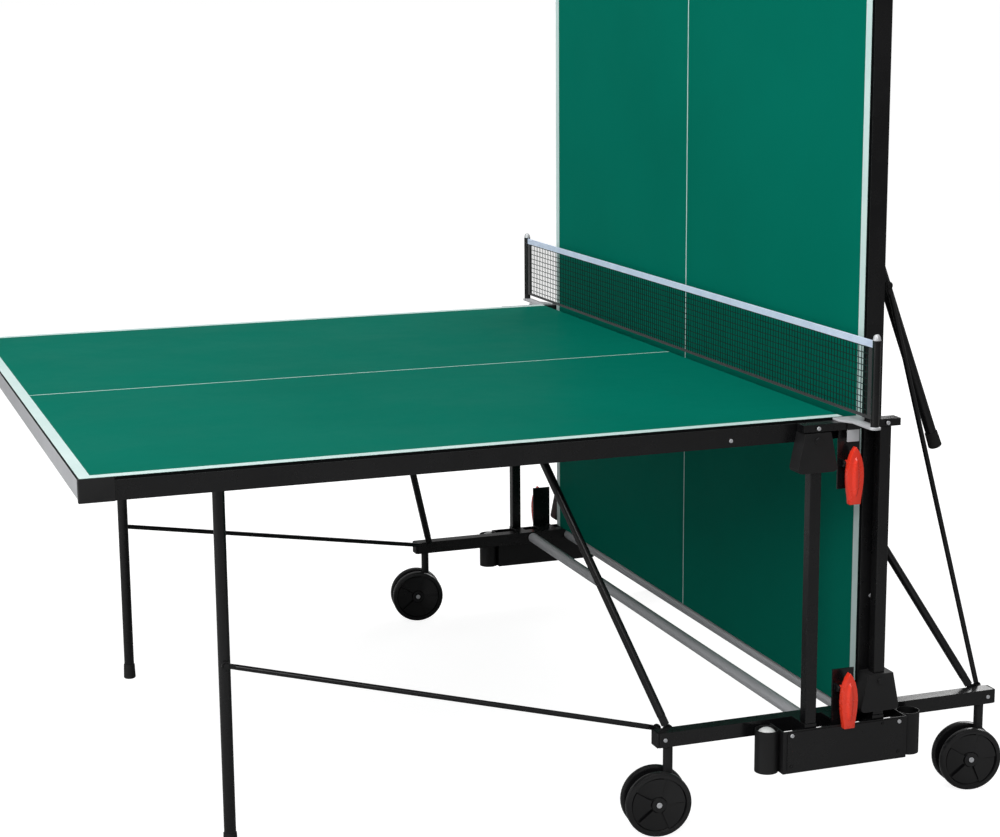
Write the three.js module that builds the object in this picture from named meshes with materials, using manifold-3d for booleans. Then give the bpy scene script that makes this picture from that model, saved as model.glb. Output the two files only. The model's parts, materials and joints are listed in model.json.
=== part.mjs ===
// A wheeled outdoor table tennis table, left half set up for play and right half folded up.
// Millimetres, +Z up, +X along the table from the playing half to the stored half, +Y across it.
// Each half is drawn as the left one in its playing place and then put at its fold by nested
// groups, so both halves, their legs, struts and bars come from the same few functions.
import * as THREE from 'three';
import { mergeVertices } from 'three/addons/utils/BufferGeometryUtils.js';
import Module from 'manifold-3d';

const wasm = await Module();
wasm.setup();

// ---------- driving dimensions ----------
const FIT = 0.3;                    // gap left between pieces that touch
const TOP_Z = 760;                  // playing surface above the floor
const TABLE_LENGTH = 2740;
const TABLE_WIDTH = 1525;
const HALF_GAP = 6;                 // between the two halves at the net
const PANEL = 6;                    // thickness of the playing panel
const FRAME_HEIGHT = 34;            // steel frame under the panel
const SIDE_RAIL_WIDTH = 25;
const END_RAIL_WIDTH = 20;
const EDGE_Y = TABLE_WIDTH / 2;
const INNER_X = -HALF_GAP / 2;
const OUTER_X = -TABLE_LENGTH / 2;
const FRAME_TOP = TOP_Z - PANEL;
const FRAME_BOTTOM = FRAME_TOP - FRAME_HEIGHT;

// undercarriage
const RAIL = 28;                    // square tube along X on each side
const RAIL_Y = 728;
const RAIL_Z = 181.6;               // its top stays 0.4 below a folded half
const RAIL_END_X = 350;
const CROSS_X = 48;                 // the two round cross tubes
const CROSS_R = 12;
const POST = 22;                    // square slide posts
const POST_X = 70;
const POST_Y = 781;
const STUB_HALF = 12;               // outriggers that carry the posts
const BAR_HALF_LENGTH = 98;         // flat bar over the posts
const BAR_BOTTOM = 742;
const BAR_THICK = 14;
const BAR_Y = 781.5;
const BAR_WIDTH = 27;

// folding linkage, seen from the side (X, Z), left half
const FOLDED_BOTTOM_Z = 196;        // inner end of a folded half above the floor
const PIVOT_DEPTH = 34;             // slide block pivot below the playing surface
const STRUT_DEPTH = 45;             // strut pivot below the playing surface
const LEG_DEPTH = 55;               // leg shaft below the playing surface
const STRUT_FOOT = { x: -320, y: 711, z: 190 };
const BAR_FOOT = { x: -338, y: 702, z: 192 };
const LEG_X = -1097;
const LEG_Y = 523;
const LEG_R = 11;
const LEG_PIN_Z = 350;              // where the thin bar meets the leg
const STRUT_HEAD_Y = 468;
const BAR_HEAD_Y = LEG_Y + LEG_R + 2.6;
const STRUT = { rodR: 8, eyeR: 10, eyeThick: 5, pinR: 4 };
const LEG_BAR = { rodR: 5, eyeR: 8, eyeThick: 4, pinR: 3.5 };
const SHANK_IN_HEAD = 1;            // how far a pin runs on into its bolt head

const PIVOT = { x: -POST_X, z: TOP_Z - PIVOT_DEPTH };
const PIVOT_TO_END = POST_X + INNER_X;
const PIVOT_FOLDED_Z = FOLDED_BOTTOM_Z + PIVOT_TO_END;
const SLIDE_TRAVEL = PIVOT.z - PIVOT_FOLDED_Z;
const FOLDED_SURFACE_X = POST_X - PIVOT_DEPTH;

// The strut pivot sits where the same strut reaches it in both end positions.
const strutRise = TOP_Z - STRUT_DEPTH - STRUT_FOOT.z;
const strutReach = -STRUT_FOOT.x - FOLDED_SURFACE_X - STRUT_DEPTH;
const strutFootIn = -STRUT_FOOT.x + INNER_X;
const strutLift = FOLDED_BOTTOM_Z - STRUT_FOOT.z;
const STRUT_FROM_END =
  (strutFootIn ** 2 + strutRise ** 2 - strutReach ** 2 - strutLift ** 2) / (2 * (strutFootIn + strutLift));
const STRUT_HEAD = { x: INNER_X - STRUT_FROM_END, z: TOP_Z - STRUT_DEPTH };
const STRUT_TURN =
  Math.atan2(STRUT_FOOT.x - STRUT_HEAD.x, strutRise) + Math.atan2(strutReach, strutLift + STRUT_FROM_END);

// The folded leg hangs where its pin is still one bar length from the bar's foot.
const LEG_TOP = { x: LEG_X, z: TOP_Z - LEG_DEPTH };
const legPinRadius = LEG_TOP.z - LEG_PIN_Z;
const barLength = Math.hypot(LEG_X - BAR_FOOT.x, LEG_PIN_Z - BAR_FOOT.z);
const foldedLegTop = {
  x: -(FOLDED_SURFACE_X + LEG_DEPTH),
  z: FOLDED_BOTTOM_Z + INNER_X - LEG_X,
};
const footToTop = Math.hypot(foldedLegTop.x - BAR_FOOT.x, foldedLegTop.z - BAR_FOOT.z);
const LEG_SWING =
  Math.atan2(foldedLegTop.x - BAR_FOOT.x, foldedLegTop.z - BAR_FOOT.z) +
  Math.acos((legPinRadius ** 2 + footToTop ** 2 - barLength ** 2) / (2 * legPinRadius * footToTop));
const foldedPin = {
  x: foldedLegTop.x - legPinRadius * Math.sin(LEG_SWING),
  z: foldedLegTop.z - legPinRadius * Math.cos(LEG_SWING),
};
const BAR_TURN =
  Math.atan2(foldedPin.x - BAR_FOOT.x, foldedPin.z - BAR_FOOT.z) -
  Math.atan2(LEG_X - BAR_FOOT.x, LEG_PIN_Z - BAR_FOOT.z);

// small parts
const BLOCK = { top: 14, bottom: 58, topHalf: 26, bottomHalf: 39, innerY: 763.3, outerY: 798 };
const PIVOT_PIN_R = 6;
const LEVER = { pivotY: 792, faceY: 799, thick: 12, above: 32, below: 73, half: 16, pinR: 4 };
const UPPER_LEVER_Z = 680;
const LOWER_LEVER_Z = 257;
const BRACKET = { half: 22, nearY: 779, farY: 783 };
const HOLDER = { half: 128, bottom: 107, top: 188, innerY: 742.4, outerY: 797.5, wall: 3 };
const BALL_TUBE = { x: 147, y: 768, outer: 22, inner: 20.4 };
const CASTER_X = 327;
const CASTER_TRAIL = 22;
const CASTER_TURN = THREE.MathUtils.degToRad(-9);
const WHEEL_R = 62;
const DISC_INNER = 11;
const DISC_OUTER = 27;
const AXLE_R = 6;
const STEM_R = 9;
const FOOT = { r: 13.5, height: 32, sole: 8 };
const NET_POST_Y = 872;
const NET_POST_R = 7.5;
const NET_TOP = TOP_Z + 152.5;
const NET_BOTTOM = TOP_Z + 12;
const NET_THICK = 3;

// ---------- materials ----------
function material(color, roughness, metalness) {
  return new THREE.MeshStandardMaterial({ color, roughness, metalness });
}
const greenPanel = () => material(0x00735f, 0.45, 0);
const blackSteel = () => material(0x1d1d1f, 0.45, 0.3);
const blackPlastic = () => material(0x1b1c1e, 0.6, 0);
const galvanised = () => material(0xb4b8bb, 0.4, 0.8);
const redPlastic = () => material(0xe6382a, 0.4, 0);
const blackRubber = () => material(0x161616, 0.8, 0);
const netFabric = () => material(0x0d3a30, 0.9, 0);

// ---------- geometry helpers ----------
function solid(geometry) {
  const bare = geometry.clone();
  bare.deleteAttribute('normal');
  bare.deleteAttribute('uv');
  const merged = mergeVertices(bare, 1e-4);
  const mesh = new wasm.Mesh({
    numProp: 3,
    vertProperties: new Float32Array(merged.attributes.position.array),
    triVerts: new Uint32Array(merged.index.array),
  });
  return new wasm.Manifold(mesh);
}

function join(...geometries) {
  return geometries.map(solid).reduce((sum, next) => sum.add(next));
}

function shell(manifold) {
  const mesh = manifold.getMesh();
  const geometry = new THREE.BufferGeometry();
  geometry.setAttribute('position', new THREE.BufferAttribute(mesh.vertProperties, 3));
  geometry.setIndex(new THREE.BufferAttribute(mesh.triVerts, 1));
  geometry.computeVertexNormals();
  return geometry;
}

function block(x0, x1, y0, y1, z0, z1) {
  const geometry = new THREE.BoxGeometry(x1 - x0, Math.abs(y1 - y0), z1 - z0);
  return geometry.translate((x0 + x1) / 2, (y0 + y1) / 2, (z0 + z1) / 2);
}

// A hexagonal bolt head that stands out from a face in the direction given.
function boltHead(x, z, shankR, faceY, direction) {
  const height = 0.7 * shankR;
  return pinY(x, z, 1.6 * shankR, faceY, faceY + direction * height, 6);
}

// A cylinder along Y between two values of Y.
function pinY(x, z, radius, y0, y1, segments = 14) {
  const geometry = new THREE.CylinderGeometry(radius, radius, Math.abs(y1 - y0), segments);
  return geometry.translate(x, (y0 + y1) / 2, z);
}

function pinX(y, z, radius, x0, x1, segments = 12) {
  const geometry = new THREE.CylinderGeometry(radius, radius, x1 - x0, segments);
  return geometry.rotateZ(Math.PI / 2).translate((x0 + x1) / 2, y, z);
}

function pinZ(x, y, radius, z0, z1, segments = 24) {
  const geometry = new THREE.CylinderGeometry(radius, radius, z1 - z0, segments);
  return geometry.rotateX(Math.PI / 2).translate(x, y, (z0 + z1) / 2);
}

// An outline drawn in X and Z, made thick from y0 towards -Y.
function plateXZ(outline, y0, thickness, bevel = 0) {
  const geometry = new THREE.ExtrudeGeometry(outline, {
    depth: thickness - 2 * bevel,
    bevelEnabled: bevel > 0,
    bevelSize: bevel,
    bevelThickness: bevel,
    bevelSegments: 2,
    curveSegments: 5,
  });
  return geometry.translate(0, 0, bevel).rotateX(Math.PI / 2).translate(0, y0, 0);
}

// A piece laid from one point to another: its Z runs along the way and its X stays level with XZ.
function alongLine(geometry, from, to) {
  const way = to.clone().sub(from).normalize();
  const across = new THREE.Vector3(0, 1, 0).cross(way).normalize();
  const frame = new THREE.Matrix4().makeBasis(across, way.clone().cross(across), way);
  return geometry.applyMatrix4(frame).translate(from.x, from.y, from.z);
}

// ---------- scene helpers ----------
function piece(parent, name, geometry, look) {
  const mesh = new THREE.Mesh(geometry, look);
  mesh.name = name;
  parent.add(mesh);
}

// A group whose contents, drawn in the playing place, turn about an axis along Y.
function turned(parent, x, z, angle) {
  const hinge = new THREE.Group();
  hinge.position.set(x, 0, z);
  hinge.rotation.y = angle;
  const inside = new THREE.Group();
  inside.position.set(-x, 0, -z);
  hinge.add(inside);
  parent.add(hinge);
  return inside;
}

// ---------- one half of the top ----------
function boardGeometry() {
  const parts = [block(OUTER_X, INNER_X, -EDGE_Y, EDGE_Y, FRAME_TOP, TOP_Z)];
  const ribHalf = 15;
  const ribBottom = FRAME_TOP - 30;
  const ribY = EDGE_Y - SIDE_RAIL_WIDTH - 1;
  const ribCentres = [STRUT_HEAD.x - 27, LEG_TOP.x];
  for (const x of ribCentres) {
    parts.push(block(x - ribHalf, x + ribHalf, -ribY, ribY, ribBottom, FRAME_TOP));
  }
  const legLugY = 500;
  for (const side of [-1, 1]) {
    const strutLug = side * (STRUT_HEAD_Y - 5);
    parts.push(block(STRUT_HEAD.x - 32, STRUT_HEAD.x + 11, strutLug - 2, strutLug + 2,
      STRUT_HEAD.z - 11, FRAME_TOP));
    const strutPinEnd = side * (STRUT_HEAD_Y + STRUT.eyeThick / 2 + FIT);
    const shankEnd = strutPinEnd + side * SHANK_IN_HEAD;
    parts.push(pinY(STRUT_HEAD.x, STRUT_HEAD.z, STRUT.pinR, strutLug, shankEnd, 12));
    parts.push(boltHead(STRUT_HEAD.x, STRUT_HEAD.z, STRUT.pinR, strutPinEnd, side));
    const legLug = side * legLugY;
    parts.push(block(LEG_TOP.x - 17, LEG_TOP.x + 17, legLug - 2.5, legLug + 2.5,
      LEG_TOP.z - 17, FRAME_TOP));
  }
  const shaftBore = solid(pinY(LEG_TOP.x, LEG_TOP.z, LEG_R + 0.4, -LEG_Y, LEG_Y, 24));
  return shell(join(...parts).subtract(shaftBore));
}

function sideRailGeometry(end) {
  const outer = end * EDGE_Y;
  const inner = end * (EDGE_Y - SIDE_RAIL_WIDTH);
  const bar = solid(block(OUTER_X, INNER_X, inner, outer, FRAME_BOTTOM, FRAME_TOP - FIT));
  const bore = solid(pinY(PIVOT.x, PIVOT.z, PIVOT_PIN_R + 0.4, end * (EDGE_Y - 19), end * (EDGE_Y + 5)));
  return shell(bar.subtract(bore));
}

function endRailGeometry(x0, x1) {
  const reach = EDGE_Y - SIDE_RAIL_WIDTH - FIT;
  return block(x0, x1, -reach, reach, FRAME_BOTTOM, FRAME_TOP - FIT);
}

// A rod with flattened ends: an eye at its head turns on a pin of the part it hangs from, and
// a bolt at its foot reaches to the undercarriage rail. Its bolts and pins all run along Y.
function linkGeometry(foot, head, { rodR, eyeR, eyeThick, pinR }) {
  const from = new THREE.Vector3(foot.x, foot.y, foot.z);
  const to = new THREE.Vector3(head.x, head.y, head.z);
  const length = from.distanceTo(to);
  const outward = Math.sign(foot.y);
  const innerFace = foot.y - outward * eyeThick / 2;
  const railFace = outward * (RAIL_Y - RAIL / 2 - 0.5);
  const bladeLength = 3.4 * rodR;
  const rod = new THREE.CylinderGeometry(rodR, rodR, length - 2 * bladeLength, 10);
  rod.rotateX(Math.PI / 2).translate(0, 0, length / 2);
  const parts = [
    alongLine(rod, from, to),
    pinY(foot.x, foot.z, eyeR, foot.y - eyeThick / 2, foot.y + eyeThick / 2),
    pinY(head.x, head.z, eyeR, head.y - eyeThick / 2, head.y + eyeThick / 2),
    pinY(foot.x, foot.z, pinR, innerFace - outward * SHANK_IN_HEAD, railFace, 12),
    boltHead(foot.x, foot.z, pinR, innerFace, -outward),
  ];
  const bladeStart = eyeR;
  const bladeMiddle = (bladeStart + bladeLength) / 2;
  for (const middle of [bladeMiddle, length - bladeMiddle]) {
    const blade = new THREE.BoxGeometry(1.8 * rodR, eyeThick, bladeLength - bladeStart + 2);
    parts.push(alongLine(blade.translate(0, 0, middle), from, to));
  }
  const bore = pinY(head.x, head.z, pinR + FIT, head.y - 2 * eyeThick, head.y + 2 * eyeThick, 12);
  return shell(join(...parts).subtract(solid(bore)));
}

function slideBlockGeometry(end) {
  const outline = new THREE.Shape();
  const corner = 9;
  outline.moveTo(-BLOCK.topHalf, BLOCK.top);
  outline.lineTo(-BLOCK.bottomHalf, -BLOCK.bottom + corner);
  outline.quadraticCurveTo(-BLOCK.bottomHalf, -BLOCK.bottom, -BLOCK.bottomHalf + corner, -BLOCK.bottom);
  outline.lineTo(BLOCK.bottomHalf - corner, -BLOCK.bottom);
  outline.quadraticCurveTo(BLOCK.bottomHalf, -BLOCK.bottom, BLOCK.bottomHalf, -BLOCK.bottom + corner);
  outline.lineTo(BLOCK.topHalf, BLOCK.top);
  outline.closePath();
  const startY = end > 0 ? BLOCK.outerY : -BLOCK.innerY;
  const body = plateXZ(outline, startY, BLOCK.outerY - BLOCK.innerY);
  body.translate(PIVOT.x, 0, PIVOT.z);
  const pin = pinY(PIVOT.x, PIVOT.z, PIVOT_PIN_R, end * (EDGE_Y - 17), end * (BLOCK.innerY + 1));
  const head = pinY(PIVOT.x, PIVOT.z, 7, end * (BLOCK.outerY - 1), end * (BLOCK.outerY + 3), 6);
  const tunnelHalf = POST / 2 + FIT;
  const tunnel = block(PIVOT.x - tunnelHalf, PIVOT.x + tunnelHalf,
    end * POST_Y - tunnelHalf, end * POST_Y + tunnelHalf, PIVOT.z - 80, PIVOT.z + 80);
  return shell(join(body, pin, head).subtract(solid(tunnel)));
}

function legGeometry(end) {
  const pinEnd = end * (BAR_HEAD_Y + LEG_BAR.eyeThick / 2 + FIT);
  return shell(join(
    pinZ(LEG_X, end * LEG_Y, LEG_R, FOOT.sole + FIT, LEG_TOP.z - LEG_R - FIT, 20),
    pinY(LEG_X, LEG_PIN_Z, LEG_BAR.pinR, end * LEG_Y, pinEnd + end * SHANK_IN_HEAD, 12),
    boltHead(LEG_X, LEG_PIN_Z, LEG_BAR.pinR, pinEnd, end),
  ));
}

function footGeometry() {
  const bore = LEG_R + FIT;
  const profile = [
    [0, 0], [FOOT.r - 2, 0], [FOOT.r, 2], [FOOT.r - 1, FOOT.height], [bore, FOOT.height],
    [bore, FOOT.sole], [0, FOOT.sole],
  ].map(([r, z]) => new THREE.Vector2(r, z));
  return new THREE.LatheGeometry(profile, 16).rotateX(Math.PI / 2);
}

function buildHalf(table, side) {
  const isLeft = side === 'left';
  const fold = isLeft ? 0 : 1;
  const place = new THREE.Group();
  place.rotation.z = isLeft ? 0 : Math.PI;
  table.add(place);

  const slide = new THREE.Group();
  slide.position.z = -fold * SLIDE_TRAVEL;
  place.add(slide);
  const half = turned(slide, PIVOT.x, PIVOT.z, fold * Math.PI / 2);
  const legs = turned(half, LEG_TOP.x, LEG_TOP.z, fold * (LEG_SWING - Math.PI / 2));
  const struts = turned(half, STRUT_HEAD.x, STRUT_HEAD.z, fold * (STRUT_TURN - Math.PI / 2));
  const bars = turned(legs, LEG_X, LEG_PIN_Z, fold * (BAR_TURN - LEG_SWING));

  piece(half, `${side}_board`, boardGeometry(), greenPanel());
  piece(half, `${side}_outer_end_rail`,
    endRailGeometry(OUTER_X, OUTER_X + END_RAIL_WIDTH), galvanised());
  piece(half, `${side}_inner_end_rail`,
    endRailGeometry(INNER_X - END_RAIL_WIDTH, INNER_X), galvanised());
  piece(legs, `${side}_leg_shaft`, pinY(LEG_TOP.x, LEG_TOP.z, LEG_R, -LEG_Y - 22, LEG_Y + 22), blackSteel());

  for (const end of [-1, 1]) {
    const isNear = (isLeft ? end : -end) < 0;
    const label = `${side}_${isNear ? 'near' : 'far'}`;
    piece(half, `${label}_side_rail`, sideRailGeometry(end), blackSteel());
    piece(slide, `${label}_slide_block`, slideBlockGeometry(end), blackPlastic());

    piece(legs, `${label}_leg`, legGeometry(end), blackSteel());
    piece(legs, `${label}_foot`, footGeometry().translate(LEG_X, end * LEG_Y, 0), blackRubber());

    const strutFoot = { ...STRUT_FOOT, y: end * STRUT_FOOT.y };
    const strutHead = { ...STRUT_HEAD, y: end * STRUT_HEAD_Y };
    const strut = linkGeometry(strutFoot, strutHead, STRUT);
    piece(struts, `${label}_strut`, strut, blackSteel());

    const barFoot = { ...BAR_FOOT, y: end * BAR_FOOT.y };
    const barHead = { x: LEG_X, y: end * BAR_HEAD_Y, z: LEG_PIN_Z };
    const bar = linkGeometry(barFoot, barHead, LEG_BAR);
    piece(bars, `${label}_leg_bar`, bar, blackSteel());
  }
}

// ---------- undercarriage, drawn for the near side and turned half round for the far one ----------
// A lever bracket: a plate, two ears and the pin that the lever turns on.
function bracketParts(pivotZ, z0, z1) {
  const parts = [block(-BRACKET.half, BRACKET.half, -BRACKET.farY, -BRACKET.nearY, z0, z1)];
  for (const side of [-1, 1]) {
    const x0 = side > 0 ? 13 : -17;
    parts.push(block(x0, x0 + 4, -LEVER.pivotY, -BRACKET.farY + 1, pivotZ - 6.4, pivotZ + 6.4));
    parts.push(pinX(-LEVER.pivotY, pivotZ, 6.5, x0, x0 + 4));
  }
  parts.push(pinX(-LEVER.pivotY, pivotZ, LEVER.pinR, -17, 17));
  return parts;
}

function railGeometry() {
  const inner = -(RAIL_Y - RAIL / 2);
  const outer = -(RAIL_Y + RAIL / 2);
  const z0 = RAIL_Z - RAIL / 2;
  const z1 = RAIL_Z + RAIL / 2;
  const parts = [block(-RAIL_END_X, RAIL_END_X, outer, inner, z0, z1)];
  for (const x of [-POST_X, POST_X]) {
    parts.push(block(x - STUB_HALF, x + STUB_HALF, -POST_Y - POST / 2, outer + 1, z0, z1));
  }
  parts.push(block(-BRACKET.half, BRACKET.half, -BRACKET.farY, outer + 1, z0, z1));
  parts.push(...bracketParts(LOWER_LEVER_Z, z1 - 1, 291));
  return shell(join(...parts));
}

function topBarGeometry() {
  const y0 = -BAR_Y - BAR_WIDTH / 2;
  const y1 = -BAR_Y + BAR_WIDTH / 2;
  const bar = block(-BAR_HALF_LENGTH, BAR_HALF_LENGTH, y0, y1, BAR_BOTTOM, BAR_BOTTOM + BAR_THICK);
  return shell(join(bar, ...bracketParts(UPPER_LEVER_Z, 631, BAR_BOTTOM + 1)));
}

function leverGeometry() {
  const { above, below, half } = LEVER;
  const outline = new THREE.Shape();
  outline.moveTo(0, above);
  outline.bezierCurveTo(half * 0.75, above - 12, half, -5, half, -20);
  outline.bezierCurveTo(half, -45, half * 0.72, -58, half * 0.66, -below);
  outline.lineTo(-half * 0.66, -below);
  outline.bezierCurveTo(-half * 0.72, -58, -half, -45, -half, -20);
  outline.bezierCurveTo(-half, -5, -half * 0.75, above - 12, 0, above);
  const grip = plateXZ(outline, -LEVER.faceY, LEVER.thick);
  const hub = pinX(-LEVER.pivotY, 0, 6.2, -12.5, 12.5);
  const web = block(-8, 8, -LEVER.faceY - 1, -LEVER.pivotY, -6, 6);
  const bore = pinX(-LEVER.pivotY, 0, LEVER.pinR + FIT, -40, 40);
  return shell(join(grip, hub, web).subtract(solid(bore)));
}

// The holder for bats, open on top, with an upright ball tube at each end.
function holderGeometry() {
  const { half, bottom, top, innerY, outerY, wall } = HOLDER;
  const backTop = RAIL_Z - RAIL / 2 - 0.5;
  const parts = [
    block(-half, half, -outerY, -outerY + wall, bottom, top),
    block(-half, half, -outerY, -innerY, bottom, bottom + wall),
    block(-half, half, -innerY - wall, -innerY, bottom, backTop),
  ];
  for (const side of [-1, 1]) {
    const x0 = side > 0 ? half - wall : -half;
    parts.push(block(x0, x0 + wall, -outerY, -innerY, bottom, top));
    parts.push(pinZ(side * BALL_TUBE.x, -BALL_TUBE.y, BALL_TUBE.outer, bottom, top, 28));
  }
  let holder = join(...parts);
  for (const side of [-1, 1]) {
    const bore = pinZ(side * BALL_TUBE.x, -BALL_TUBE.y, BALL_TUBE.inner, bottom + wall, top + 5, 28);
    holder = holder.subtract(solid(bore));
  }
  return shell(holder);
}

function netPostGeometry() {
  const barTop = BAR_BOTTOM + BAR_THICK + 0.4;
  const plate = 4;
  const tabY = BAR_Y + BAR_WIDTH / 2 + 0.4;
  const outline = new THREE.Shape();
  outline.moveTo(-26, 767);
  outline.lineTo(26, 767);
  outline.lineTo(26, 790);
  outline.lineTo(11, 812);
  outline.lineTo(11, NET_POST_Y);
  outline.absarc(0, NET_POST_Y, 11, 0, Math.PI, false);
  outline.lineTo(-11, 812);
  outline.lineTo(-26, 790);
  outline.closePath();
  const arm = new THREE.ExtrudeGeometry(outline, { depth: plate, bevelEnabled: false, curveSegments: 10 });
  arm.rotateZ(Math.PI).translate(0, 0, barTop);
  const tab = block(-12, 12, -tabY - 3, -tabY, 720, barTop + plate);
  const profile = [
    [0, barTop], [NET_POST_R, barTop], [NET_POST_R, NET_TOP + 2], [NET_POST_R - 1.5, NET_TOP + 9],
    [NET_POST_R - 4, NET_TOP + 12], [0, NET_TOP + 13],
  ].map(([r, z]) => new THREE.Vector2(r, z));
  const post = new THREE.LatheGeometry(profile, 20).rotateX(Math.PI / 2).translate(0, -NET_POST_Y, 0);
  return shell(join(arm, tab, post));
}

function buildSide(table, label) {
  const side = new THREE.Group();
  side.rotation.z = label === 'near' ? 0 : Math.PI;
  table.add(side);
  piece(side, `undercarriage_rail_${label}`, railGeometry(), blackSteel());
  piece(side, `top_bar_${label}`, topBarGeometry(), blackSteel());
  piece(side, `bat_holder_${label}`, holderGeometry(), blackPlastic());
  piece(side, `net_post_${label}`, netPostGeometry(), galvanised());
  piece(side, `upper_lever_${label}`, leverGeometry().translate(0, 0, UPPER_LEVER_Z), redPlastic());
  piece(side, `lower_lever_${label}`, leverGeometry().translate(0, 0, LOWER_LEVER_Z), redPlastic());
}

// ---------- casters ----------
function stemGeometry() {
  const plateHalf = DISC_INNER - 2;
  const parts = [
    pinZ(0, 0, STEM_R, 80, RAIL_Z - RAIL / 2 - FIT, 20),
    block(-CASTER_TRAIL - 13, STEM_R - 1, -plateHalf + 1, plateHalf - 1, WHEEL_R, 98),
    pinY(-CASTER_TRAIL, WHEEL_R, 15, -plateHalf, plateHalf, 24),
  ];
  const bore = pinY(-CASTER_TRAIL, WHEEL_R, AXLE_R + FIT, -40, 40);
  return shell(join(...parts).subtract(solid(bore)));
}

function wheelGeometry() {
  const shoulder = 4;
  const outerSide = [
    [AXLE_R, DISC_INNER], [WHEEL_R, DISC_INNER], [WHEEL_R, DISC_OUTER - shoulder],
    [WHEEL_R - shoulder, DISC_OUTER], [0, DISC_OUTER],
  ];
  const innerSide = outerSide.map(([r, y]) => [r, -y]).reverse();
  const profile = [...innerSide, ...outerSide].map(([r, y]) => new THREE.Vector2(r, y));
  return new THREE.LatheGeometry(profile, 32).translate(-CASTER_TRAIL, 0, WHEEL_R);
}

function buildCaster(table, x, y) {
  const label = `${x < 0 ? 'left' : 'right'}_${y < 0 ? 'near' : 'far'}`;
  const caster = new THREE.Group();
  caster.position.set(x, y, 0);
  caster.rotation.z = CASTER_TURN;
  table.add(caster);
  piece(caster, `${label}_caster_stem`, stemGeometry(), blackPlastic());
  piece(caster, `${label}_caster_wheel`, wheelGeometry(), blackRubber());
}

// ---------- the whole table ----------
const table = new THREE.Group();

for (const side of ['left', 'right']) buildHalf(table, side);
for (const label of ['near', 'far']) buildSide(table, label);

for (const x of [-POST_X, POST_X]) {
  for (const y of [-POST_Y, POST_Y]) {
    const half = POST / 2;
    const name = `${x < 0 ? 'left' : 'right'}_${y < 0 ? 'near' : 'far'}_post`;
    const post = block(x - half, x + half, y - half, y + half, RAIL_Z + RAIL / 2 + FIT, BAR_BOTTOM - FIT);
    piece(table, name, post, blackSteel());
  }
}

const crossReach = RAIL_Y - RAIL / 2 - FIT;
piece(table, 'left_cross_tube', pinY(-CROSS_X, RAIL_Z, CROSS_R, -crossReach, crossReach, 24), galvanised());
piece(table, 'right_cross_tube', pinY(CROSS_X, RAIL_Z, CROSS_R, -crossReach, crossReach, 24), galvanised());

for (const x of [-CASTER_X, CASTER_X]) {
  for (const y of [-RAIL_Y, RAIL_Y]) buildCaster(table, x, y);
}

const netReach = NET_POST_Y - NET_POST_R - 0.5;
piece(table, 'net', block(-NET_THICK / 2, NET_THICK / 2, -netReach, netReach, NET_BOTTOM, NET_TOP), netFabric());

// The origin is on the floor, under the middle of the table's own box.
const bounds = new THREE.Box3().setFromObject(table, true);
table.position.x = -(bounds.min.x + bounds.max.x) / 2;

export default table;
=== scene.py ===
# %% [markdown]
# # A wheeled table tennis table
#
# One half of the table is level on its legs, and the other is folded upright, so that one player can
# hit the ball against it. The steel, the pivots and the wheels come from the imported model, which is a
# fixed frame. This lesson adds what gives the table its looks: rounded edges, painted lines, moulded
# wheels, the net, the small fasteners, and a material for every surface.

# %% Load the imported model
import json
import math

import bmesh
import bpy
from mathutils import Matrix, Vector


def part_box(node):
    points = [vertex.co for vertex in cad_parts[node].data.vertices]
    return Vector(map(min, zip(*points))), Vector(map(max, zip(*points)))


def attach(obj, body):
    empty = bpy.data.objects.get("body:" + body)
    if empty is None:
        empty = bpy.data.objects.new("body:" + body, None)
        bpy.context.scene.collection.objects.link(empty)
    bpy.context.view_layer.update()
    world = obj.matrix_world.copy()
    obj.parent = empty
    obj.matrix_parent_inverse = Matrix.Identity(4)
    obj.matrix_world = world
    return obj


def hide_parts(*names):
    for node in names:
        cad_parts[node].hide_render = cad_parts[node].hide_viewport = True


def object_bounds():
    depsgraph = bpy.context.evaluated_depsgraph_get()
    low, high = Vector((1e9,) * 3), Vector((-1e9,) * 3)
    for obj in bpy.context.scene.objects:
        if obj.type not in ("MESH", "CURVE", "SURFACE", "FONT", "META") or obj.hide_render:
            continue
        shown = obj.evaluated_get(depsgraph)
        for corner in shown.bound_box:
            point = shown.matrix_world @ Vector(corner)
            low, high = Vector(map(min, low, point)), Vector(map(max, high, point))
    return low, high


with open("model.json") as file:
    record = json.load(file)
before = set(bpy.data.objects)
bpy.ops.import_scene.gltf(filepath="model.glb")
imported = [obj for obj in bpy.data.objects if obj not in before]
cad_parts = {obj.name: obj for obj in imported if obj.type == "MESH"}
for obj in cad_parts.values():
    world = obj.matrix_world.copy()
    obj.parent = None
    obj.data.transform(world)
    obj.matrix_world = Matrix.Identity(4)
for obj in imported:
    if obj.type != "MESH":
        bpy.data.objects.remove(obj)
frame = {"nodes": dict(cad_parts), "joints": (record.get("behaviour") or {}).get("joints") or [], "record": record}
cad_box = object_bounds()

nodes = frame["nodes"]
MM = 0.001
low_corner, high_corner = ([round(v, 4) for v in corner] for corner in cad_box)
print(len(nodes), "nodes, from", low_corner, "to", high_corner)

# %% [markdown]
# ## Landmarks
#
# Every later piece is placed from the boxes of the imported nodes, so nothing is fitted by eye. The net
# marks the middle of the table, and the two boards give the playing surfaces.

# %% Landmarks
net_low, net_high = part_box("net")
MID_X = (net_low.x + net_high.x) / 2
left_low, left_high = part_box("left_board")
right_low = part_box("right_board")[0]
TOP_Z = left_high.z
EDGE_Y = left_high.y
HALF_LENGTH = left_high.x - left_low.x
PANEL = 6 * MM
SIDES = ("left", "right")
ENDS = ("near", "far")
OUTWARD = {"near": -1, "far": 1}
print("middle of the table at x =", round(MID_X, 4), "and playing surface at z =", round(TOP_Z, 4))

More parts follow.
